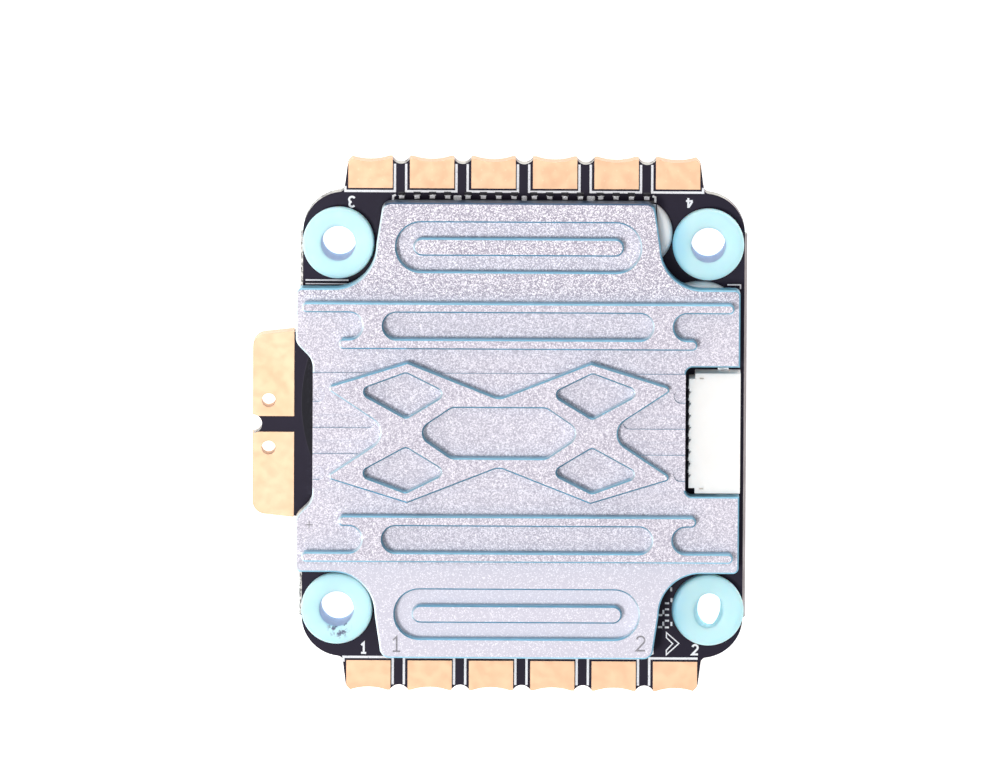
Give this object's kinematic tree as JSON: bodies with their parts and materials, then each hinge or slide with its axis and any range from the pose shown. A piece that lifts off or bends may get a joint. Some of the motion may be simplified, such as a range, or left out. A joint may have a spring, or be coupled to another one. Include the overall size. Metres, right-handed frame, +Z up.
{
  "type": "motor speed controller board",
  "caption": "Square black circuit board with a milled aluminium heat sink, gold solder pads on the edges, soft corner grommets and a side-entry signal connector.",
  "frame": {"origin": "centre of the 30.5 mm screw pattern, on the plane of the grommets' lower faces", "axes": "+Z up through the heat sink, +X towards the signal connector, +Y towards the pads of motors 3 and 4; the battery tab stands out at -X"},
  "size_m": [0.0409, 0.0444, 0.0084],
  "materials": {
    "anodised_aluminium": "bead-blasted silver faces, light-blue cut edges",
    "battery_gold": "satin immersion gold over copper",
    "ceramic": "fired brown ceramic with tinned ends",
    "connector_plastic": "cream high-temperature nylon",
    "ferrite": "pressed iron powder",
    "motor_gold": "satin immersion gold over copper",
    "moulding_compound": "black epoxy moulding compound",
    "resistor_glaze": "black glaze with tinned ends",
    "shunt_alloy": "black coating over a metal strip, tinned ends",
    "silicone_blue": "soft light-blue silicone, satin",
    "solder_mask": "black solder mask with white legend, over glass-epoxy laminate",
    "thermal_adhesive": "cured white thermal adhesive, smooth",
    "thermal_pad": "soft grey gap pad, matte",
    "tinned_metal": "tin plate with solder"
  },
  "bodies": {
    "root": {"battery_pad_negative": "battery_gold", "battery_pad_positive": "battery_gold", "buck_inductor": "ferrite", "buck_regulator": "moulding_compound", "bulk_capacitors_bottom": "ceramic", "bulk_capacitors_top": "ceramic", "circuit_board": "solder_mask", "connector_anchor_tabs": "tinned_metal", "connector_contacts": "tinned_metal", "connector_housing": "connector_plastic", "current_sense_amplifier": "moulding_compound", "current_shunts": "shunt_alloy", "grommet_1": "silicone_blue", "grommet_2": "silicone_blue", "grommet_3": "silicone_blue", "grommet_4": "silicone_blue", "heat_sink": "anodised_aluminium", "linear_regulator": "moulding_compound", "motor_1_controller": "moulding_compound", "motor_1_gate_driver": "moulding_compound", "motor_1_pad_a": "motor_gold", "motor_1_pad_b": "motor_gold", "motor_1_pad_c": "motor_gold", "motor_1_transistors_bottom": "moulding_compound", "motor_1_transistors_top": "moulding_compound", "motor_2_controller": "moulding_compound", "motor_2_gate_driver": "moulding_compound", "motor_2_pad_a": "motor_gold", "motor_2_pad_b": "motor_gold", "motor_2_pad_c": "motor_gold", "motor_2_transistors_bottom": "moulding_compound", "motor_2_transistors_top": "moulding_compound", "motor_3_controller": "moulding_compound", "motor_3_gate_driver": "moulding_compound", "motor_3_pad_a": "motor_gold", "motor_3_pad_b": "motor_gold", "motor_3_pad_c": "motor_gold", "motor_3_transistors_bottom": "moulding_compound", "motor_3_transistors_top": "moulding_compound", "motor_4_controller": "moulding_compound", "motor_4_gate_driver": "moulding_compound", "motor_4_pad_a": "motor_gold", "motor_4_pad_b": "motor_gold", "motor_4_pad_c": "motor_gold", "motor_4_transistors_bottom": "moulding_compound", "motor_4_transistors_top": "moulding_compound", "small_capacitors_bottom": "ceramic", "small_capacitors_top": "ceramic", "small_resistors_bottom": "resistor_glaze", "small_resistors_top": "resistor_glaze", "surge_diode": "moulding_compound", "thermal_adhesive_beads": "thermal_adhesive", "thermal_pad_lower": "thermal_pad", "thermal_pad_upper": "thermal_pad", "transistor_leads_bottom": "tinned_metal", "transistor_leads_top": "tinned_metal"}
  },
  "joints": []
}
